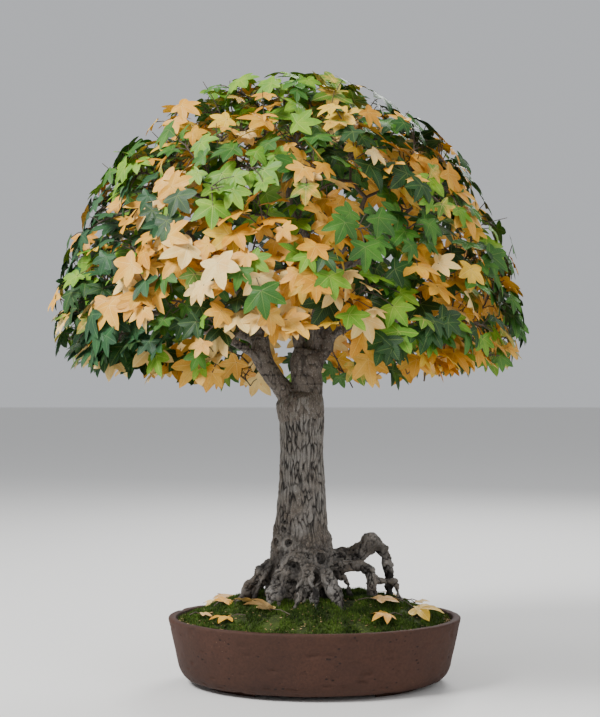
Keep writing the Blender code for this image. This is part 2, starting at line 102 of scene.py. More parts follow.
class Value:
    """A node's output that takes part in arithmetic."""

    def __init__(self, look, socket):
        self.look = look
        self.socket = socket

    def math(self, operation, *others, clamp=False):
        return self.look.node("Math", dict(enumerate((self, *others))), operation=operation, use_clamp=clamp)

    def __add__(self, other):
        return self.math("ADD", other)

    def __sub__(self, other):
        return self.math("SUBTRACT", other)

    def __mul__(self, other):
        return self.math("MULTIPLY", other)

    def __truediv__(self, other):
        return self.math("DIVIDE", other)

    def __rsub__(self, other):
        return self.look.node("Math", {0: other, 1: self}, operation="SUBTRACT")

    def __rtruediv__(self, other):
        return self.look.node("Math", {0: other, 1: self}, operation="DIVIDE")

    def __abs__(self):
        return self.math("ABSOLUTE")

    __radd__ = __add__
    __rmul__ = __mul__

    def most(self, other):
        return self.math("MAXIMUM", other)

    def over(self, other):
        return self.math("GREATER_THAN", other)

    def clamped(self):
        return self.math("ADD", 0.0, clamp=True)

    def sine(self):
        return self.math("SINE")


class Look:
    """A material whose nodes are written as expressions."""

    def __init__(self, name):
        self.material = bpy.data.materials.new(name)
        self.material.use_nodes = True
        self.tree = self.material.node_tree
        self.shader = self.tree.nodes["Principled BSDF"]

    def node(self, kind, inputs=None, out=0, **settings):
        made = self.tree.nodes.new("ShaderNode" + kind)
        for key, value in settings.items():
            setattr(made, key, value)
        for key, value in (inputs or {}).items():
            self.put(made.inputs[key], value)
        return Value(self, made.outputs[out])

    def put(self, socket, value):
        if isinstance(value, Value):
            self.tree.links.new(value.socket, socket)
        else:
            socket.default_value = value

    def places(self, stretch=(1, 1, 1)):
        spot = self.node("TexCoord", out="Object")
        return self.node("Mapping", {"Vector": spot, "Scale": stretch})

    def noise(self, scale, detail=3.0, stretch=(1, 1, 1), rough=0.55):
        inputs = {"Vector": self.places(stretch), "Scale": scale, "Detail": detail, "Roughness": rough}
        return self.node("TexNoise", inputs)

    def cells(self, scale, stretch=(1, 1, 1), feature="F1"):
        return self.node("TexVoronoi", {"Vector": self.places(stretch), "Scale": scale}, feature=feature)

    def band(self, value, low, high):
        """0 below low, 1 above high, and even between."""
        return self.node("MapRange", {"Value": value, "From Min": low, "From Max": high})

    def mix(self, share, first, second):
        return self.node("Mix", {0: share, 6: first, 7: second}, out=2, data_type="RGBA")

    def finish(self, tint, roughness, height=None, depth=0.001, strength=0.6, specular=0.4):
        self.put(self.shader.inputs["Base Color"], tint)
        self.put(self.shader.inputs["Roughness"], roughness)
        self.shader.inputs["Specular IOR Level"].default_value = specular
        if height:
            inputs = {"Height": height, "Distance": depth, "Strength": strength}
            self.put(self.shader.inputs["Normal"], self.node("Bump", inputs))
        return self.material


def clay_look():
    look = Look("red_brown_clay")
    broad, fine = look.noise(9, 4), look.noise(260, 2)
    tint = look.mix(look.band(broad, 0.35, 0.7), colour(58, 36, 27), colour(75, 48, 37))
    tint = look.mix(look.band(fine, 0.35, 0.75) * 0.5, tint, colour(44, 27, 20))
    specks = look.band(look.noise(420, 1), 0.73, 0.78) * look.band(look.noise(14, 2), 0.52, 0.66)
    tint = look.mix(specks * 0.45, tint, colour(160, 126, 104))
    # Pits in the clay: sunk by the bump, and painted near black inside as painted shade.
    pits = look.band(look.cells(85, (1, 1, 1.5)), 0.24, 0.10) * look.band(look.noise(26, 1), 0.52, 0.58)
    tint = look.mix(pits * 0.85, tint, colour(26, 15, 12))
    height = fine * 0.35 - pits
    return look.finish(tint, look.band(broad, 0.2, 0.8) * 0.15 + 0.66, height, 0.0008, 0.5, 0.3)


def bark_look(name, light, dark, warm):
    """Bark: the crack attribute is how deep the mesh's relief lies, and the bark is painted near black there,
    mostly as painted shade in its cracks and hollows.
    """
    look = Look(name)
    crack = look.node("Attribute", out="Fac", attribute_name="crack")
    broad = look.noise(26, 3)
    grain = look.noise(300, 4, (1, 1, 0.45), 0.7)
    tint = look.mix(look.band(broad, 0.36, 0.66), light, warm)
    tint = look.mix(look.band(grain, 0.42, 0.72) * 0.55, tint, dark)
    tint = look.mix(look.band(look.noise(520, 2), 0.58, 0.72) * 0.35, tint, colour(196, 192, 184))
    # Painted shade: cracks and hollows darkened towards near black by the crack attribute.
    tint = look.mix(look.band(crack, 0.08, 0.70), tint, colour(30, 26, 24))
    return look.finish(tint, look.band(grain, 0.3, 0.7) * 0.12 + 0.74, grain - crack * 0.6, 0.0011, 0.75, 0.3)


def moss_look(name, dark, light):
    look = Look(name)
    patch, fine = look.noise(34, 3), look.noise(380, 2)
    tint = look.mix(look.band(patch, 0.38, 0.66), dark, light)
    # Painted highlight: pale yellow-green flecks where light catches the moss blades.
    tint = look.mix(look.band(fine, 0.55, 0.75) * 0.6, tint, colour(120, 138, 52))
    return look.finish(tint, 0.85, fine, 0.0012, 0.8, 0.25)


def grit_look():
    look = Look("grit_and_litter")
    tint = look.mix(look.band(look.noise(150, 1), 0.42, 0.58), colour(120, 92, 58), colour(184, 156, 112))
    return look.finish(tint, 0.85, look.noise(700, 2), 0.0004, 0.6, 0.25)


def wood_look(name, light, dark):
    """Twigs and leaf stalks."""
    look = Look(name)
    grain = look.noise(420, 2)
    return look.finish(look.mix(look.band(grain, 0.35, 0.7), light, dark), 0.62, grain, 0.0003, 0.5, 0.4)


def leaf_look(name, tint, other, vein, share=(0.45, 0.62)):
    """A leaf: blotches of another tint, pale veins that fan out from the stalk, and finer ones between."""
    look = Look(name)
    parts = look.node("SeparateXYZ", {0: look.node("TexCoord", out="UV")})
    x = (parts - 0.5) * 2.5
    y = abs((Value(look, parts.socket.node.outputs[1]) - 0.5) * 2.5)
    lines, ribs = None, None
    for turn, _ in LOBE_TIPS:
        c, s = math.cos(math.radians(turn)), math.sin(math.radians(turn))
        off, on = abs(y * c - x * s), x * c + y * s
        line = (1 - off / (0.026 - on * 0.014)).clamped() * on.over(0.0)
        rib = look.band(((off * 1.1 - on) * 62.0).sine(), 0.86, 1.0) * on.over(off * 1.7)
        lines = line if lines is None else lines.most(line)
        ribs = rib if ribs is None else ribs.most(rib)
    blotch = look.band(look.noise(30, 3), *share)
    fine = look.noise(500, 2)
    body = look.mix(blotch, tint, other)
    body = look.mix(look.band(fine, 0.45, 0.75) * 0.35, body, tuple(c * 0.6 for c in tint[:3]) + (1.0,))
    body = look.mix(lines.most(ribs * 0.4) * 0.55, body, vein)
    rough = look.band(fine, 0.2, 0.8) * 0.15 + 0.46
    relief = lines + ribs * 0.35 + fine * 0.2
    return look.finish(body, rough, relief, 0.0006, 0.5, 0.4)


def remove(obj):
    data = obj.data
    bpy.data.objects.remove(obj, do_unlink=True)
    if isinstance(data, bpy.types.Mesh):
        bpy.data.meshes.remove(data)
    elif isinstance(data, bpy.types.Curve):
        bpy.data.curves.remove(data)


def add_object(name, data):
    obj = bpy.data.objects.new(name, data)
    bpy.context.scene.collection.objects.link(obj)
    return obj


def finished_mesh(obj):
    """The mesh that the object shows, with its modifiers."""
    bpy.context.view_layer.update()
    graph = bpy.context.evaluated_depsgraph_get()
    return bpy.data.meshes.new_from_object(obj.evaluated_get(graph))


def apply_modifiers(obj):
    mesh = finished_mesh(obj)
    obj.modifiers.clear()
    old = obj.data
    obj.data = mesh
    bpy.data.meshes.remove(old)


def mesh_of(name, places, faces):
    mesh = bpy.data.meshes.new(name)
    mesh.from_pydata(places, [], faces)
    mesh.update()
    return add_object(name, mesh)


def dress(obj, materials, nodes=(), smooth=True):
    """Sets a finished piece in the frame: its place, materials, body and solids."""
    obj.location = SHIFT
    slots = obj.data.materials
    for index, material in enumerate(materials):
        if index < len(slots):
            slots[index] = material
        else:
            slots.append(material)
    obj.data.polygons.foreach_set("use_smooth", [smooth] * len(obj.data.polygons))
    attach(obj, "root")
    if nodes:
        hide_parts(*nodes)
    return obj


def smooth_line(knots, steps):
    """A smooth run of (place, radius) through the given knots of x, y, z and radius in millimetres."""
    knots = [Vector(knot) * MM + Vector((0, 0, RAISE, 0)) for knot in knots]
    ends = [2 * knots[0] - knots[1], *knots, 2 * knots[-1] - knots[-2]]
    line = []
    for before, start, end, after in zip(ends, ends[1:], ends[2:], ends[3:]):
        for step in range(steps):
            t = step / steps
            lead = start + (end - start) * t
            bend = (start - before) * (t * (1 - t) ** 2) - (after - end) * (t * t * (1 - t))
            pull = (end - start) * (t * (1 - t) * (2 * t - 1))
            line.append(lead + (bend + pull) * 0.5)
    line.append(knots[-1])
    return [(Vector(knot[:3]), knot[3]) for knot in line]


def bent_line(start, start_way, end, end_way, radii, steps):
    """A run of (place, radius) from start to end, leaving and arriving along the given ways."""
    line = []
    for i in range(steps):
        t = i / (steps - 1)
        a, b, c, d = (1 - t) ** 3, 3 * t * (1 - t) ** 2, 3 * t * t * (1 - t), t**3
        place = start * a + (start + start_way) * b + (end - end_way) * c + end * d
        line.append((place, radii[0] + (radii[1] - radii[0]) * t))
    return line


def tubes(name, runs, rounding=1):
    """One mesh of round tapering runs, each a line of (place, radius) with a material number."""
    curve = bpy.data.curves.new(name, "CURVE")
    curve.dimensions = "3D"
    curve.use_fill_caps = True
    curve.bevel_depth = 1.0
    curve.bevel_resolution = rounding
    for line, number in runs:
        spline = curve.splines.new("POLY")
        spline.points.add(len(line) - 1)
        spline.material_index = number
        for point, (place, radius) in zip(spline.points, line):
            point.co = (*place, 1)
            point.radius = radius
    for _ in range(2):
        curve.materials.append(None)
    guide = add_object(name + "_guide", curve)
    mesh = finished_mesh(guide)
    remove(guide)
    mesh.name = name
    return add_object(name, mesh)


def merged(name, solids, voxel):
    """Several closed meshes grown into one skin."""
    places, faces = [], []
    for solid in solids:
        start = len(places)
        places += [vert.co.copy() for vert in solid.data.vertices]
        faces += [[start + i for i in face.vertices] for face in solid.data.polygons]
        remove(solid)
    obj = mesh_of(name, places, faces)
    skin = obj.modifiers.new("skin", "REMESH")
    skin.mode = "VOXEL"
    skin.voxel_size = voxel
    even = obj.modifiers.new("even", "SMOOTH")
    even.factor = 0.5
    even.iterations = 3
    apply_modifiers(obj)
    return obj


def relieve(obj, relief):
    """Moves each point along its normal by relief(place), which also gives how deep it lies in a crack; on
    the bark that value is painted dark as shade.
    """
    mesh = obj.data
    points = [(vert.co.copy(), vert.normal.copy()) for vert in mesh.vertices]
    moves = [relief(place) for place, _ in points]
    moved = [place + normal * out for (place, normal), (out, _) in zip(points, moves)]
    mesh.vertices.foreach_set("co", [value for place in moved for value in place])
    layer = mesh.attributes.new("crack", "FLOAT", "POINT")
    layer.data.foreach_set("value", [crack for _, crack in moves])
    mesh.update()


TRUNK = (
    (19, 0, 96, 60),
    (19, 0, 125, 55),
    (20, 0, 155, 50),
    (19, 0, 191, 47),
    (18, 0, 214, 41.5),
    (19, 0, 240, 38),
    (19.5, 0, 275, 35.5),
    (19, 0, 332, 32.5),
    (19, 0, 378, 34),
    (16, 0, 404, 36),
    (14, 0, 414, 31),
    (13, 0, 420, 20),
)
ROOTS = {
    "left": ((-2, -6, 172, 14), (-30, -14, 160, 12), (-52, -20, 134, 11), (-70, -26, 112, 8),
             (-84, -32, 92, 5)),
    "left_front": ((4, -20, 160, 14), (-12, -42, 136, 13), (-24, -58, 112, 9), (-34, -70, 92, 6)),
    "front": ((38, -26, 168, 11), (52, -46, 150, 11), (66, -62, 130, 10), (76, -74, 112, 7),
              (84, -84, 92, 5)),
    "front_finger": ((44, -40, 150, 6), (40, -58, 134, 5), (36, -70, 112, 4), (34, -76, 92, 3)),
    "right": ((44, -10, 160, 12), (80, -18, 163, 8.5), (106, -20, 161, 8), (122, -22, 146, 7),
              (124, -26, 96, 5)),
    "right_far": ((104, -20, 160, 6), (128, -14, 141, 5), (154, -12, 137, 4.5), (164, -14, 120, 4),
                  (170, -16, 88, 3)),
    "arch": ((40, 10, 166, 14), (72, 14, 168, 12.5), (100, 16, 174, 12), (117, 16, 188, 11),
             (124, 16, 196, 9.5),
             (137, 14, 189, 7), (149, 12, 162, 6), (152, 10, 90, 5)),
    "back_right": ((30, 24, 160, 15), (52, 50, 142, 12), (70, 72, 116, 9), (82, 86, 86, 6)),
    "back": ((12, 26, 158, 14), (4, 56, 140, 11), (-6, 82, 112, 8), (-12, 96, 84, 5)),
    "back_left": ((0, 16, 160, 14), (-30, 34, 142, 12), (-56, 50, 114, 8), (-74, 60, 84, 5)),
}
# Ringed scars on the flare: azimuth in degrees, height of the middle and the ring's radius in millimetres
SCARS = (
    (-140, 199, 8.5),
    (-113, 199, 8.5),
    (-128, 219, 6.5),
    (-104, 166, 14),
    (-72, 150, 16),
    (-58, 176, 10),
)
LIMBS = {
    "centre_limb": ((24, 0, 392, 22), (28, -1, 424, 23), (26, -2, 446, 23.5), (26, -2, 464, 25),
                    (28, 0, 482, 21)),
    "left_bough": ((8, -2, 392, 15), (-2, -4, 414, 15.5), (-20, -6, 438, 14.5), (-34, -7, 458, 14.5),
                   (-42, -6, 478, 15.5), (-42, -4, 503, 12)),
    "middle_riser": ((36, 0, 468, 12.5), (40, 0, 500, 12), (46, -3, 548, 10.5), (50, 0, 592, 8.5)),
    "left_riser": ((19, 2, 468, 10), (14, 5, 502, 9.5), (5, 10, 548, 8), (0, 16, 592, 7)),
    "right_riser": ((40, -4, 462, 9), (55, -5, 482, 9), (61, -4, 504, 8), (67, 0, 529, 7)),
}
# Knobs and branch collars: the limb, the share along it, the side in degrees, and the radius in millimetres
KNOBS = (
    ("centre_limb", 0.15, -60, 9), ("centre_limb", 0.45, -130, 8), ("centre_limb", 0.62, -80, 9),
    ("centre_limb", 0.70, -20, 9), ("centre_limb", 0.80, -150, 8), ("left_bough", 0.10, -100, 8),
    ("left_bough", 0.30, 150, 7), ("left_bough", 0.45, -60, 6), ("left_bough", 0.80, -90, 6),
    ("left_bough", 0.82, 180, 6), ("middle_riser", 0.35, -60, 5), ("left_riser", 0.4, -120, 4),
)
MASSES = {
    "low_front": ("low", -90, "middle_riser", 0.55, 6.5),
    "low_front_right": ("low", -38.6, "right_riser", 0.45, 5.5),
    "low_right": ("low", 12.9, "right_riser", 0.93, 6.0),
    "low_back_right": ("low", 64.3, "right_riser", 0.70, 5.5),
    "low_back_left": ("low", 115.7, "left_bough", 0.88, 7.0),
    "low_left": ("low", 167.1, "left_bough", 0.80, 7.0),
    "low_front_left": ("low", -141.4, "left_bough", 0.52, 6.5),
    "high_front_right": ("high", -54, "middle_riser", 0.80, 6.0),
    "high_right": ("high", 18, "middle_riser", 0.90, 6.0),
    "high_back": ("high", 90, "left_riser", 0.82, 5.5),
    "high_left": ("high", 162, "left_bough", 0.97, 8.0),
    "high_front_left": ("high", -126, "left_riser", 0.70, 5.5),
    "top": ("top", 0, "middle_riser", 0.98, 7.0),
}
# Each ring: lowest and highest elevation, half its masses' width in azimuth, elevation of the gates,
# and the number of shoots in each mass
RINGS = {
    "low": (-44, 24, 180 / 7, 5, 15),
    "high": (24, 56, 180 / 5, 40, 15),
    "top": (56, 90, 180, 90, 24),
}


def dome_point(azimuth, elevation, share):
    flat = math.cos(elevation) * share
    up = math.sin(elevation) * share
    rise = DOME_REACH.z if up > 0 else DOME_DROP
    x, y = DOME_REACH.x * flat * math.cos(azimuth), DOME_REACH.y * flat * math.sin(azimuth)
    return DOME + Vector((x, y, rise * up))


def dome_place(point):
    p = point - DOME
    x, y = p.x / DOME_REACH.x, p.y / DOME_REACH.y
    z = p.z / (DOME_REACH.z if p.z > 0 else DOME_DROP)
    share = math.sqrt(x * x + y * y + z * z)
    return math.atan2(y, x), math.asin(max(-1.0, min(1.0, z / max(share, 1e-9)))), share


def outward(point):
    p = point - DOME
    rise = DOME_REACH.z if p.z > 0 else DOME_REACH.x
    return Vector((p.x / DOME_REACH.x**2, p.y / DOME_REACH.y**2, p.z / rise**2)).normalized()


def angle_between(a, b):
    return (a - b + math.pi) % math.tau - math.pi


def above_rim(point, room=0.0):
    """Whether a point is above the leaves' lower rim, which is highest before the fork."""
    azimuth = dome_place(point)[0]
    lowest = RIM_HEIGHT + RIM_RISE * math.cos(azimuth) ** 2
    if abs(angle_between(azimuth, -math.pi / 2)) < WINDOW_ANGLE:
        lowest = WINDOW_HEIGHT
    return point.z > lowest - room


def in_space(point, mass):
    ring, middle = MASSES[mass][:2]
    low, high, half = (math.radians(value) for value in RINGS[ring][:3])
    azimuth, elevation, share = dome_place(point)
    if not INNER_SHARE < share < 1.0:
        return False
    slant = TUCK * (share - 0.85)
    elevation += slant
    if elevation > high and ring != "top" or elevation < low:
        return False
    if ring != "top" and abs(angle_between(azimuth + slant, math.radians(middle))) > half:
        return False
    return ring != "low" or above_rim(point)


def line_at(line, share):
    spot = share * (len(line) - 1)
    i = min(int(spot), len(line) - 2)
    way = line[i + 1][0] - line[i][0]
    return line[i][0] + way * (spot - i), way.normalized()


def gate_of(mass):
    ring, azimuth = MASSES[mass][:2]
    elevation = math.radians(RINGS[ring][3])
    if mass == "low_front":
        elevation += math.radians(14)
    gate = dome_point(math.radians(azimuth), elevation, GATE_SHARE)
    return gate, (gate - DOME * 0.92).normalized()


ROOTLETS = 9


def radius_at(height):
    for low, high in zip(TRUNK, TRUNK[1:]):
        if low[2] <= height <= high[2]:
            return low[3] + (high[3] - low[3]) * (height - low[2]) / (high[2] - low[2])
    return TRUNK[-1][3]


def make_trunk():
    solids = [tubes("core", [(smooth_line(TRUNK, 4), 0)], 14)]
    for root, run in ROOTS.items():
        line = smooth_line(run, 5)
        stout = 1.30 if root == "arch" else 1.08
        wavy = []
        for place, radius in line:
            sway = noise.noise_vector(place * 40) * 0.0025
            swell = stout * (1 + 0.24 * noise.noise(place * 70))
            wavy.append((place + sway, radius * swell))
        solids.append(tubes("root", [(wavy, 0)], 5))
    for k in range(ROOTLETS):
        turn = math.radians(-175 + 170 * (k + draw.uniform(0, 0.7)) / ROOTLETS)
        out = Vector((math.cos(turn), math.sin(turn), 0))
        start = Vector((0.019, 0, draw.uniform(0.150, 0.172) + RAISE)) + out * 0.040
        end = Vector((0.019, 0, 0.106 + RAISE)) + out * draw.uniform(0.072, 0.092)
        run = bent_line(start, out * 0.022, end, out * 0.008 + Vector((0, 0, -0.020)), (0.0055, 0.0026), 12)
        run = [(place + noise.noise_vector(place * 60) * 0.005, radius) for place, radius in run]
        solids.append(tubes("rootlet", [(run, 0)], 4))
    for azimuth, height, size in SCARS:
        turn = math.radians(azimuth)
        out = Vector((math.cos(turn), math.sin(turn), 0))
        middle = Vector((TRUNK[3][0], 0, height)) * MM + out * radius_at(height) * MM * 1.03
        middle.z += RAISE
        bpy.ops.mesh.primitive_torus_add(
            major_radius=size * MM, minor_radius=size * 0.46 * MM, major_segments=28, minor_segments=12,
            location=middle, rotation=out.to_track_quat("Z", "Y").to_euler(),
        )
        bpy.ops.object.transform_apply(rotation=True, location=True)
        solids.append(bpy.context.object)
    trunk = merged("bark_trunk", solids, 0.0013)
    hollows = []
    for azimuth, height, size in SCARS:
        turn, out = math.radians(azimuth), radius_at(height) * MM
        x, y = 0.019 + out * math.cos(turn), out * math.sin(turn)
        hollows.append((Vector((x, y, height * MM + RAISE)), size * MM))

    def relief(place):
        height = place.z - RAISE
        around = math.atan2(place.y, place.x - 0.019) * 0.034
        spot = Vector((around, place.z * 0.16, 0)) * 215
        spot += noise.noise_vector(Vector((around, place.z * 0.5, 0)) * 80) * 0.7
        near = noise.voronoi(spot)[0]
        line = max(0.0, 1 - (near[1] - near[0]) / 0.26) * min(1.0, 0.9 + noise.noise(place * 60))
        flare = min(1.0, max(0.0, (0.230 - height) / 0.05))
        knobby = noise.fractal(place * 55, 1.0, 2.0, 3)
        crevice = max(0.0, 1 - abs(noise.fractal(place * 75, 0.9, 2.0, 3)) / 0.22) * flare
        low = min(1.0, max(0.0, (0.205 - height) / 0.03))
        out = 0.0009 * knobby + 0.0034 * knobby * flare - 0.0014 * line * (1 - 0.5 * flare) - 0.0026 * crevice
        # Darker towards the bottom of the trunk and over the roots, varied by noise.
        darker_low = low * (0.30 + 0.8 * noise.noise(place * 42))
        # Painted shade in the sunken fissures and crevices, joined with the darkening low down.
        dark = max(0.80 * line * (1 - 0.5 * flare), 0.85 * crevice, darker_low)
        # Painted shade in the scars: their sunken rings and hollow middles are darkened.
        for middle, size in hollows:
            far = (place - middle).length / size
            ring = 0.5 + 0.5 * math.cos(far * 10)
            if far < 1.5:
                dark = max(dark * 0.7, (1.5 - far) * 0.45 * ring + (0.5 if far < 0.45 else 0))
                out -= 0.0022 * ring * (1.5 - far)
        return out, min(1.0, dark)

    relieve(trunk, relief)
    looks = [bark_look("grey_bark", colour(134, 130, 125), colour(70, 65, 60), colour(104, 94, 84))]
    return dress(trunk, looks, ["trunk"])


def make_limbs():
    lines = {name: smooth_line(run, 6) for name, run in LIMBS.items()}
    coarse = {name: smooth_line(run, 2) for name, run in LIMBS.items()}
    solids = [tubes(name, [(line, 0)], 8) for name, line in lines.items()]
    solids.append(tubes("core", [(smooth_line(TRUNK[-4:], 4), 0)], 14))
    for mass, (ring, azimuth, parent, share, thick) in MASSES.items():
        start, way = line_at(coarse[parent], share)
        gate, out = gate_of(mass)
        reach = (gate - start).length
        lead = way * 0.30 * reach + out * 0.06 * reach
        line = bent_line(start, lead, gate + out * 0.004, out * 0.34 * reach, (thick * MM, STEM_RADIUS), 16)
        solids.append(tubes("bough", [(line, 0)], 6))
    for name, share, side, size in KNOBS:
        place, _ = line_at(lines[name], share)
        radius = lines[name][int(share * (len(lines[name]) - 1))][1]
        turn = math.radians(side)
        spot = place + Vector((math.cos(turn), math.sin(turn), 0)) * radius * 0.72
        bpy.ops.mesh.primitive_uv_sphere_add(radius=size * MM, segments=16, ring_count=10, location=spot)
        bpy.ops.object.transform_apply(location=True)
        solids.append(bpy.context.object)
    limbs = merged("bark_limbs", solids, 0.0014)

    def relief(place):
        rings = noise.noise(Vector((place.x * 14, place.y * 14, place.z * 260)))
        knobby = noise.fractal(place * 70, 1.0, 2.0, 3)
        line = max(0.0, 0.5 - 3.0 * abs(noise.noise(Vector((place.x * 160, place.y * 160, place.z * 55)))))
        # The dark is painted shade in the sunken crack lines, together with a pattern on the raised rings.
        return 0.0007 * knobby + 0.0004 * rings - 0.0009 * line, min(1.0, line * 1.2 + max(0.0, rings - 0.35))

    relieve(limbs, relief)
    looks = [bark_look("dark_bark", colour(112, 104, 96), colour(62, 55, 50), colour(88, 78, 70))]
    nodes = list(LIMBS) + ["bough_" + mass for mass in MASSES]
    return dress(limbs, looks, nodes)


# The leaf's outline: its lobes' tips and the bays between, in degrees from the middle lobe and shares
# of its reach
LOBE_TIPS = ((0, 1.0), (52, 0.93), (110, 0.66))
BAYS = ((27, 0.52), (82, 0.46), (146, 0.27), (180, 0.15))
LEAF_RINGS = (0.34, 0.68, 1.0)


def leaf_outline():
    """Half the outline, from the middle lobe's tip round to the base, as (x, y)."""
    def spot(turn, out):
        return np.array((math.cos(math.radians(turn)) * out, math.sin(math.radians(turn)) * out))

    corners = [spot(*LOBE_TIPS[0]), spot(*BAYS[0]), spot(*LOBE_TIPS[1]), spot(*BAYS[1]), spot(*LOBE_TIPS[2]),
               spot(*BAYS[2]), spot(*BAYS[3])]
    half = []
    for i, (start, end) in enumerate(zip(corners, corners[1:])):
        half.append(start)
        if i == 5:
            half.append((start + end) / 2 * 1.06)
            continue
        side = np.array((start[1] - end[1], end[0] - start[0]))
        if np.dot(side, start + end) < 0:
            side = -side
        bulge = 0.11
        for t in (0.35, 0.72) if i % 2 == 0 else (0.28, 0.65):
            half.append(start + (end - start) * t + side * bulge * math.sin(t * math.pi))
    half.append(corners[-1])
    return half


def leaf_model():
    """The flat leaf's points, their distances from the nearest lobe's middle line, and its faces."""
    half = leaf_outline()
    rim = half + [point * (1, -1) for point in reversed(half[1:-1])]
    flat = [np.zeros(2)] + [point * ring for ring in LEAF_RINGS for point in rim]
    count = len(rim)
    faces = [(0, 1 + i, 1 + (i + 1) % count) for i in range(count)]
    for ring in range(len(LEAF_RINGS) - 1):
        for i in range(count):
            near, far = 1 + ring * count, 1 + (ring + 1) * count
            j = (i + 1) % count
            faces += [(near + i, far + i, far + j), (near + i, far + j, near + j)]
    flat = np.array(flat)
    angles = np.degrees(np.arctan2(np.abs(flat[:, 1]), flat[:, 0]))
    turns = np.array([turn for turn, _ in LOBE_TIPS])
    off = np.radians(np.abs(angles[:, None] - turns[None, :]).min(axis=1))
    return flat, np.hypot(flat[:, 0], flat[:, 1]) * np.sin(np.minimum(off, 1.5)), np.array(faces)


LEAF_FLAT, LEAF_OFF, LEAF_FACES = leaf_model()


def leaf_points(turn, reach, bend, curl, fold, ripple):
    """One leaf's points: bent to its tip, curled across, folded up along its lobes and rippled."""
    x, y = LEAF_FLAT[:, 0], LEAF_FLAT[:, 1] * draw.uniform(0.84, 1.04)
    x = x + y * draw.uniform(-0.12, 0.12)
    z = fold * LEAF_OFF - bend * x * np.abs(x) - curl * y * y
    z = z + ripple * np.sin(x * 5 + y * 3 + ripple * 90) * np.hypot(x, y)
    places = np.stack([x, y, z, np.ones_like(x)], axis=1) * (reach, reach, reach, 1)
    return (places @ np.array(turn).T)[:, :3]


def leaves_mesh(name, leaves):
    """One mesh of many leaves, each (points, material number)."""
    count = len(LEAF_FLAT)
    places = np.concatenate([points for points, _ in leaves])
    faces = np.concatenate([LEAF_FACES + i * count for i in range(len(leaves))])
    obj = mesh_of(name, places.tolist(), faces.tolist())
    numbers = np.repeat([number for _, number in leaves], len(LEAF_FACES))
    obj.data.polygons.foreach_set("material_index", numbers)
    layer = obj.data.uv_layers.new(name="leaf")
    corners = np.tile(LEAF_FACES.ravel(), len(leaves))
    layer.data.foreach_set("uv", (LEAF_FLAT[corners] * 0.4 + 0.5).ravel())
    return obj


def tint_of(place, inner):
    """The tint for a spray: green outside and on the left, amber within, pale low down on the left."""
    azimuth, elevation, share = dome_place(place)
    amber = 0.34 - 0.26 * max(0.0, math.sin(elevation)) + 0.9 * inner
    amber += 0.7 * noise.noise(place * 9 + Vector((3, 7, 1)))
    if place.x < -0.20:
        amber -= 0.30
    if place.z > 0.86:
        amber -= 0.35
    low_left = place.x < 0.02 and place.z < 0.60
    roll = draw.random()
    if draw.random() < amber:
        if low_left and roll < 0.75:
            return "cream" if roll < 0.35 else "peach"
        return "amber" if roll < 0.52 else "yellow" if roll < 0.68 else "peach" if roll < 0.93 else "cream"
    if roll < 0.10:
        return "turning"
    if place.z > 0.72 and place.x < 0.05:
        return "fresh" if roll < 0.55 else "green"
    if place.x < -0.15:
        return "blue_green" if roll < 0.45 else "deep_green" if roll < 0.75 else "fresh"
    return "deep_green" if roll < 0.45 else "green" if roll < 0.80 else "fresh"


def leaf_tints():
    pale_vein = colour(126, 150, 70)
    warm_vein = colour(250, 214, 130)
    tints = {
        "deep_green": (colour(20, 58, 14), colour(30, 78, 20), pale_vein),
        "blue_green": (colour(26, 66, 36), colour(40, 88, 42), colour(104, 140, 90)),
        "green": (colour(42, 92, 16), colour(66, 118, 24), pale_vein),
        "fresh": (colour(88, 138, 22), colour(122, 162, 32), colour(182, 198, 86)),
        "turning": (colour(84, 126, 32), colour(226, 172, 62), warm_vein),
        "amber": (colour(204, 138, 22), colour(220, 164, 42), colour(238, 196, 92)),
        "peach": (colour(220, 156, 46), colour(230, 178, 72), colour(246, 210, 122)),
        "cream": (colour(238, 204, 128), colour(230, 182, 96), colour(250, 230, 172)),
        "fallen": (colour(216, 168, 104), colour(230, 190, 130), colour(242, 214, 158)),
        "yellow": (colour(216, 170, 34), colour(228, 188, 58), warm_vein),
    }
    return {name: leaf_look("leaf_" + name, *tint) for name, tint in tints.items()}


TIP_DRAWS = 40
LEAF_DRAWS = 16


def shoot_tips(mass, taken):
    """Places for the tips of a mass's twigs, each the furthest of several draws from the others."""
    ring, middle = MASSES[mass][:2]
    low, high, half = (math.radians(value) for value in RINGS[ring][:3])
    tips = []
    for _ in range(RINGS[ring][4]):
        best, room = None, -1
        for _ in range(TIP_DRAWS):
            share = draw.uniform(0.76, 0.93)
            azimuth = math.radians(middle) + draw.uniform(-half, half) - TUCK * (share - 0.85)
            elevation = math.asin(draw.uniform(math.sin(low), math.sin(high))) - TUCK * (share - 0.85)
            spot = dome_point(azimuth, elevation, share)
            if not in_space(spot, mass):
                continue
            least = min([(spot - other).length for other in taken + tips], default=1.0)
            if least > room:
                best, room = spot, least
        if best:
            tips.append(best)
    return tips


def halves(spots):
    widest = max(range(3), key=lambda k: max(s[k] for s in spots) - min(s[k] for s in spots))
    spots = sorted(spots, key=lambda s: s[widest])
    return spots[: len(spots) // 2], spots[len(spots) // 2 :]


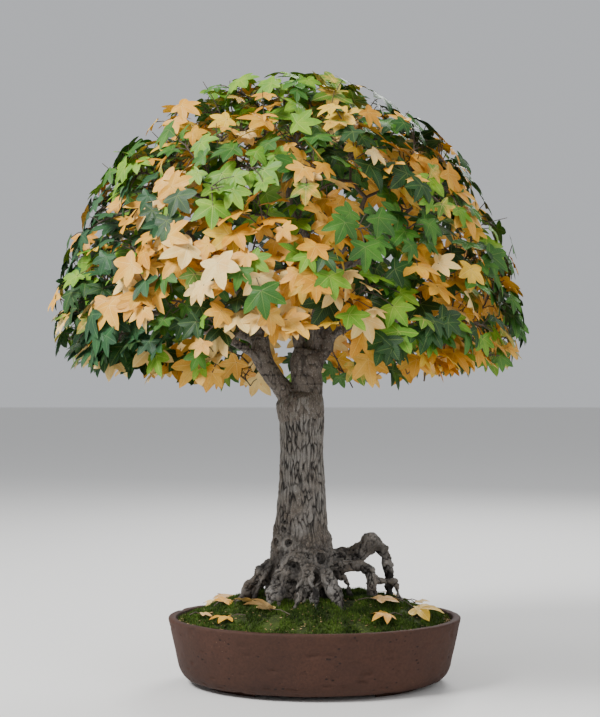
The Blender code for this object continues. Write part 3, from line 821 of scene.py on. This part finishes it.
def fork(line, tips, runs):
    """Carries a twig on to one tip, with a thinner side twig wherever its tips part in two lots."""
    place, thick = line[-1]
    if len(tips) == 1:
        tip = tips[0]
        bend = place.lerp(tip, 0.5) + outward(tip) * 0.008 + noise.noise_vector(tip * 50) * 0.006
        mid = bend.lerp(tip, 0.5) + Vector((0, 0, 0.003))
        runs.append(line + [(bend, (thick + TWIG_RADIUS) / 2), (mid, TWIG_RADIUS * 1.2), (tip, TWIG_RADIUS)])
        return
    middle = sum(tips, Vector()) / len(tips)
    node = place.lerp(middle, 0.40 if len(tips) > 3 else 0.32) + noise.noise_vector(middle * 40) * 0.004
    thick = max(TWIG_RADIUS * 1.3, thick * 0.80)
    on, off = halves(tips)
    fork(line + [(node, thick)], on, runs)
    fork([(node, max(TWIG_RADIUS * 1.3, thick * 0.72))], off, runs)


LEAVES_A_TWIG = 10
LEAVES_OUTSIDE = 7
BLADE_OUTWARD = 0.62
BLADE_UPWARD = 0.62
SIDE_REACH = 0.974
TOP_FLATTER = 0.028
blades = []


def blade_turn(point, forward, rise, roll):
    """A blade's frame: it faces up and out of the dome, with its tip forwards and down the dome."""
    up = (outward(point) * BLADE_OUTWARD + Vector((0, 0, BLADE_UPWARD))).normalized()
    fall = outward(point) * 0.9 - Vector((0, 0, 1))
    down = fall - up * fall.dot(up)
    ahead = forward - up * forward.dot(up)
    along = (ahead.normalized() + down).normalized()
    along = along * math.cos(rise) + up * math.sin(rise)
    across = up.cross(along).normalized()
    turn = Matrix((along, across, along.cross(across))).transposed().to_4x4()
    return Matrix.Translation(point) @ turn @ Matrix.Rotation(roll, 4, "X")


def grow_leaf(line, share, inner):
    """The best of several draws for a leaf: the blade furthest from the others and inside the dome."""
    point, way = line_at(line, share)
    best, room = None, -1
    for _ in range(LEAF_DRAWS):
        up = outward(point)
        spin = draw.uniform(0, math.tau)
        side = up.orthogonal().normalized()
        side = side * math.cos(spin) + up.cross(side) * math.sin(spin)
        stalk = draw.uniform(0.020, 0.046) * (0.8 if inner else 1.0)
        lift = draw.uniform(-0.2, 0.5) if inner else draw.uniform(0.15, 0.9)
        forward = (way * 0.6 + side + up * lift).normalized()
        base = point + forward * stalk + Vector((0, 0, -0.12 * stalk))
        reach = draw.uniform(0.022, 0.041)
        rise, roll = math.radians(draw.uniform(-34, 26)), math.radians(draw.uniform(-38, 38))
        turn = blade_turn(base, forward, rise, roll)
        tip = turn @ Vector((reach, 0, -0.2 * reach))
        middle = base.lerp(tip, 0.4)
        lobes = [turn @ Vector((0.4 * reach, across * reach, 0)) for across in (-0.8, 0.8)]
        if any(beyond(place) for place in (base, tip, *lobes)):
            continue
        if not above_rim(tip, 0.006) or not above_rim(base):
            continue
        far = min(np.linalg.norm(np.array(blades) - middle, axis=1).min(), 0.05) if blades else 0.05
        if far > room:
            best, room = (point, base, forward, stalk, turn, reach, middle), far
    return best


def beyond(point):
    """Whether a point is outside the leaves' dome, which is a little flatter on top."""
    _, elevation, share = dome_place(point)
    return share > SIDE_REACH - TOP_FLATTER * max(0.0, math.sin(elevation))


def bare_shoots(mass):
    """A few thin young shoots of the upper masses that stand a little out of the leaves."""
    runs = []
    if mass.startswith("low"):
        return runs
    for _ in range(3):
        ring, middle = MASSES[mass][:2]
        low, high, half = (math.radians(value) for value in RINGS[ring][:3])
        azimuth, elevation = math.radians(middle) + draw.uniform(-half, half), draw.uniform(low, high)
        start, end = dome_point(azimuth, elevation, 0.80), dome_point(azimuth, elevation, 0.94)
        sway = noise.noise_vector(end * 30) * 0.03
        places = [start.lerp(end, t) + sway * t * t for t in (0, 0.35, 0.7, 1)]
        runs.append(([(place, 0.0011 - 0.0002 * k) for k, place in enumerate(places)], 1))
    return runs


def make_mass(mass, tints, taken):
    """The twigs, stalks and leaves of one mass."""
    gate, out = gate_of(mass)
    tips = shoot_tips(mass, taken)
    taken += tips
    runs = []
    fork([(gate - out * 0.004, STEM_RADIUS), (gate + out * 0.035, STEM_RADIUS * 0.85)], tips, runs)
    leaves, wood, names = [], [(line, 0) for line in runs], list(tints)
    for line in runs:
        last = line[-4:]
        spray = tint_of(last[-1][0], 0.0)
        within = tint_of(last[-1][0], 0.5)
        for k in range(LEAVES_A_TWIG):
            share = 1.0 - 0.92 * k / LEAVES_A_TWIG
            inner = k >= LEAVES_OUTSIDE
            found = grow_leaf(last, share, inner)
            if not found:
                continue
            point, base, forward, stalk, turn, reach, middle = found
            blades.append(np.array(middle))
            bend, curl = draw.uniform(0.08, 0.42), draw.uniform(-0.10, 0.34)
            points = leaf_points(turn, reach, bend, curl, draw.uniform(0.08, 0.26), draw.uniform(0.01, 0.05))
            name = within if inner else spray
            if draw.random() < 0.40:
                name = tint_of(middle, 0.2)
            leaves.append((points, names.index(name)))
            arch = point.lerp(base, 0.5) + Vector((0, 0, 0.10 * stalk))
            wood.append(([(point, 0.0009), (arch, 0.0007), (base, 0.0007)], 1))
    obj = leaves_mesh("leaves_" + mass, leaves)
    dress(obj, tints.values(), ["foliage_" + mass])
    twigs = tubes("twigs_" + mass, wood + bare_shoots(mass), 1)
    dress(twigs, twig_looks, ["foliage_" + mass])


def turned(name, profile, steps):
    """A closed profile that starts and ends on the axis, turned round it and drawn out of round."""
    mesh = bpy.data.meshes.new(name)
    bm = bmesh.new()
    corners = [bm.verts.new((out, 0, up)) for out, up in profile]
    for near, far in zip(corners, corners[1:]):
        bm.edges.new((near, far))
    bm.to_mesh(mesh)
    bm.free()
    obj = add_object(name, mesh)
    turn = obj.modifiers.new("turn", "SCREW")
    turn.steps = turn.render_steps = steps
    turn.use_merge_vertices = True
    turn.merge_threshold = 0.0001
    apply_modifiers(obj)
    obj.data.transform(Matrix.Translation((POT_X, 0, 0)) @ Matrix.Diagonal((1, OVAL, 1, 1)))
    return obj


def wall_out(height):
    lean = WALL_LEAN * (1 - height / POT_HEIGHT)
    low = max(0.0, 1 - (height - FOOT_HEIGHT) / WALL_ROUND_HEIGHT)
    return POT_LENGTH / 2 - lean - WALL_ROUND * (1 - math.sqrt(max(0.0, 1 - low * low)))


def make_pot():
    lip = POT_WALL / 2
    top = POT_HEIGHT - 0.0035
    heights = [FOOT_HEIGHT + (top - FOOT_HEIGHT) * (i / 40) ** 1.25 for i in range(41)]
    outer = [(wall_out(z), z) for z in reversed(heights)]
    inner = [(wall_out(z) - POT_WALL, z) for z in heights[::4] if z > FOOT_HEIGHT + POT_FLOOR]
    middle = wall_out(top) - lip
    rim = [(middle - lip * math.cos(t * math.pi / 8), top + 0.0035 * math.sin(t * math.pi / 8) ** 0.5)
           for t in range(1, 8)]
    half = POT_LENGTH / 2
    foot = half - FOOT_INSET
    profile = [(0, FOOT_HEIGHT + POT_FLOOR), (half - 0.046, FOOT_HEIGHT + POT_FLOOR)] + inner + rim + outer
    profile += [(foot + 0.003, FOOT_HEIGHT), (foot, FOOT_HEIGHT - 0.002), (foot - 0.002, 0)]
    profile += [(foot - FOOT_WIDTH, 0), (foot - FOOT_WIDTH - 0.002, FOOT_HEIGHT), (0, FOOT_HEIGHT)]
    pot = turned("clay_pot", profile, 300)
    bpy.ops.mesh.primitive_cube_add(size=1, location=(POT_X, 0, 0))
    notch = bpy.context.object
    notch.data.transform(Matrix.Diagonal((FOOT_NOTCH, 2 * POT_DEPTH, 2 * FOOT_HEIGHT - 0.0004, 1)))
    round_off = notch.modifiers.new("round_off", "BEVEL")
    round_off.width = 0.0045
    round_off.segments = 4
    cut = pot.modifiers.new("cut", "BOOLEAN")
    cut.operation = "DIFFERENCE"
    cut.object = notch
    apply_modifiers(pot)
    remove(notch)

    def relief(place):
        if place.z < 0.004:
            return 0.0, 0.0
        dent = noise.fractal(place * 38, 1.0, 2.0, 2) * 0.0005
        gouge = max(0.0, noise.noise(Vector((place.x * 70, place.y * 70, place.z * 190))) - 0.36)
        return dent - gouge * 0.0060, gouge

    relieve(pot, relief)
    return dress(pot, [clay_look()], ["pot"])


def ground_at(x, y):
    """The moss's height at a place in the pot."""
    out = math.hypot(x - POT_X, y / OVAL)
    edge = POT_LENGTH / 2 - POT_WALL
    share = min(1.0, max(0.0, (out - MOUND_LEVEL_REACH) / (edge - MOUND_LEVEL_REACH)))
    height = MOUND_EDGE + (MOUND_TOP - MOUND_EDGE) * (1 - share * share * (2.2 - 1.2 * share))
    lumps = noise.fractal(Vector((x, y, 0)) * 22, 1.0, 2.0, 3) * 0.0045
    return height + lumps * min(1.0, (1 - share) * 5) - 0.003


def make_mound():
    rings, steps = 46, 160
    edge = POT_LENGTH / 2 - POT_WALL - 0.0008
    places = [(POT_X, 0, ground_at(POT_X, 0))]
    faces = []
    for ring in range(1, rings + 1):
        out = edge * ring / rings
        for i in range(steps):
            turn = i * math.tau / steps
            x, y = POT_X + out * math.cos(turn), out * OVAL * math.sin(turn)
            places.append((x, y, ground_at(x, y)))
    faces += [(0, 1 + i, 1 + (i + 1) % steps) for i in range(steps)]
    for ring in range(rings - 1):
        near, far = 1 + ring * steps, 1 + (ring + 1) * steps
        for i in range(steps):
            j = (i + 1) % steps
            faces.append((near + i, far + i, far + j, near + j))
    skirt = 1 + (rings - 1) * steps
    foot = len(places)
    places += [(x, y, 0.085) for x, y, _ in places[skirt : skirt + steps]]
    faces += [(skirt + i, foot + i, foot + (i + 1) % steps, skirt + (i + 1) % steps) for i in range(steps)]
    faces.append([foot + i for i in reversed(range(steps))])
    mound = mesh_of("moss_mound", places, faces)
    looks = [moss_look("mossy_soil", colour(34, 40, 20), colour(58, 72, 28))]
    return dress(mound, looks, ["soil_mound"])


def random_ground():
    turn, out = draw.uniform(0, math.tau), math.sqrt(draw.random())
    edge = POT_LENGTH / 2 - POT_WALL - 0.004
    x, y = POT_X + edge * out * math.cos(turn), edge * OVAL * out * math.sin(turn)
    return x, y, out


def make_tufts():
    """Fine moss blades in small stars all over the mound."""
    places, faces = [], []
    for _ in range(15000):
        x, y, out = random_ground()
        if noise.noise(Vector((x, y, 5)) * 30) < -0.34 or out > 0.97 and draw.random() < 0.5:
            continue
        z = ground_at(x, y)
        tall = draw.uniform(0.0035, 0.0075)
        for k in range(4):
            turn = draw.uniform(0, math.tau)
            lean = draw.uniform(0.1, 0.8)
            c, s = math.cos(turn), math.sin(turn)
            start = len(places)
            places += [
                (x - s * 0.0006, y + c * 0.0006, z - 0.001),
                (x + s * 0.0006, y - c * 0.0006, z - 0.001),
                (x + c * tall * lean, y + s * tall * lean, z + tall * (1 - 0.35 * lean)),
            ]
            faces.append((start, start + 1, start + 2))
    tufts = mesh_of("moss_tufts", places, faces)
    moss = moss_look("moss", colour(44, 66, 22), colour(84, 112, 36))
    return dress(tufts, [moss], smooth=False)


def make_grit():
    """Grit and dry litter, thickest along the rim."""
    places, faces = [], []
    shape = bmesh.new()
    bmesh.ops.create_icosphere(shape, subdivisions=1, radius=1)
    base = [vert.co.copy() for vert in shape.verts]
    tris = [[vert.index for vert in face.verts] for face in shape.faces]
    shape.free()
    edge = POT_LENGTH / 2 - POT_WALL - 0.003
    for k in range(1500):
        if k % 3:
            turn, out = draw.uniform(0, math.tau), draw.uniform(0.95, 1.0)
            x, y = POT_X + edge * out * math.cos(turn), edge * OVAL * out * math.sin(turn)
        else:
            x, y, out = random_ground()
        size = draw.uniform(0.0006, 0.0017)
        spin = Matrix.Rotation(draw.uniform(0, math.tau), 3, "Z") @ Matrix.Diagonal((1.5, 0.9, 0.6))
        start = len(places)
        middle = Vector((x, y, ground_at(x, y) + size * 0.5))
        places += [middle + (spin @ co) * size for co in base]
        faces += [[start + i for i in tri] for tri in tris]
    return dress(mesh_of("grit", places, faces), [grit_look()], smooth=False)


FALLEN_REACH = 0.88


def on_ground(u, v):
    """Where the camera's ray through a pixel of the photograph meets the moss."""
    ray = Vector(((u - IMAGE[0] / 2) / FOCAL_PIXELS, 1, (IMAGE[1] / 2 - v) / FOCAL_PIXELS))
    ray = Matrix.Rotation(PITCH, 3, "X") @ ray
    reach = 1.6
    for _ in range(400):
        spot = CAMERA + ray * reach
        if spot.z < ground_at(spot.x, spot.y):
            break
        reach += 0.001
    out = math.hypot(spot.x - POT_X, spot.y / OVAL) / (POT_LENGTH / 2 - POT_WALL)
    inwards = min(1.0, FALLEN_REACH / out)
    return Vector((POT_X + (spot.x - POT_X) * inwards, spot.y * inwards, spot.z))


# Fallen leaves on the moss: pixel, reach in millimetres, turn in degrees, tilt in degrees, tint
FALLEN = (
    (232, 598, 31, 200, 24, "fallen"), (243, 606, 27, 320, 34, "cream"), (224, 607, 24, 70, 30, "peach"),
    (268, 614, 36, 160, 44, "fallen"), (202, 619, 18, 30, 10, "fallen"), (227, 623, 26, 190, 12, "amber"),
    (199, 605, 26, 100, 35, "cream"), (380, 605, 32, 20, 26, "fallen"), (386, 620, 30, 230, 18, "peach"),
    (418, 614, 38, 345, 16, "yellow"), (437, 602, 24, 60, 28, "cream"), (394, 582, 25, 100, 34, "fallen"),
    (404, 590, 22, 200, 24, "amber"),
)


def make_fallen(tints):
    leaves, stalks, names = [], [], list(tints)
    for u, v, reach, turn, tilt, tint in FALLEN:
        spot = on_ground(u, v)
        spot.z = ground_at(spot.x, spot.y) + 0.008
        reach *= MM
        place = Matrix.Translation(spot) @ Matrix.Rotation(math.radians(turn), 4, "Z")
        place = place @ Matrix.Rotation(math.radians(-tilt * 0.4), 4, "Y")
        place = place @ Matrix.Rotation(math.radians(draw.uniform(-tilt, tilt)), 4, "X")
        points = leaf_points(place, reach, draw.uniform(0.1, 0.3), draw.uniform(0.1, 0.4), 0.3, 0.06)
        for point in points:
            point[2] = max(point[2], ground_at(point[0], point[1]) + 0.0025)
        leaves.append((points, names.index(tint)))
        base = place @ Vector((-0.1 * reach, 0, 0))
        end = place @ Vector((-1.0 * reach, 0.25 * reach, 0))
        end.z = max(end.z, ground_at(end.x, end.y) + 0.004)
        arch = base.lerp(end, 0.5) + Vector((0, 0, 0.003))
        stalks.append(([(base, 0.0008), (arch, 0.0007), (end, 0.0009)], 1))
    dress(leaves_mesh("fallen_leaves", leaves), tints.values())
    dress(tubes("fallen_stalks", stalks, 1), twig_looks)


def make_stage():
    bpy.ops.mesh.primitive_plane_add(size=60)
    floor = bpy.context.object
    floor.name = "studio_floor"
    look = Look("pale_floor")
    floor.data.materials.append(look.finish(colour(226, 225, 222), 0.8))
    world = bpy.data.worlds.new("soft_room")
    bpy.context.scene.world = world
    world.use_nodes = True
    world.node_tree.nodes["Background"].inputs["Color"].default_value = (0.86, 0.88, 0.92, 1)
    world.node_tree.nodes["Background"].inputs["Strength"].default_value = 0.62
    lamps = (
        ("key", (-1.9, -1.3, 2.7), 160, 1.0),
        ("fill", (2.2, -1.6, 1.4), 22, 1.6),
        ("back", (0.8, 2.2, 2.2), 60, 1.2),
    )
    for name, place, power, size in lamps:
        lamp = bpy.data.lights.new(name, "AREA")
        lamp.energy = power
        lamp.size = size
        light = add_object(name, lamp)
        light.location = place
        light.rotation_euler = (Vector((0, 0, 0.5)) - Vector(place)).to_track_quat("-Z", "Y").to_euler()


def make_camera():
    data = bpy.data.cameras.new("camera")
    data.sensor_width = 36
    data.lens = FOCAL_PIXELS / IMAGE[1] * data.sensor_width
    camera = add_object("camera", data)
    camera.location = CAMERA + SHIFT
    camera.rotation_euler = (math.pi / 2 + PITCH, 0, 0)
    bpy.context.scene.camera = camera


make_camera()
make_stage()
twig_looks = [
    wood_look("twig_bark", colour(96, 84, 70), colour(64, 54, 46)),
    wood_look("leaf_stalk", colour(190, 176, 96), colour(164, 140, 74)),
]
leaf_tint_looks = leaf_tints()
make_pot()
make_mound()
make_tufts()
make_grit()
make_fallen(leaf_tint_looks)
make_trunk()
make_limbs()
shoots = []
for mass in MASSES:
    make_mass(mass, leaf_tint_looks, shoots)
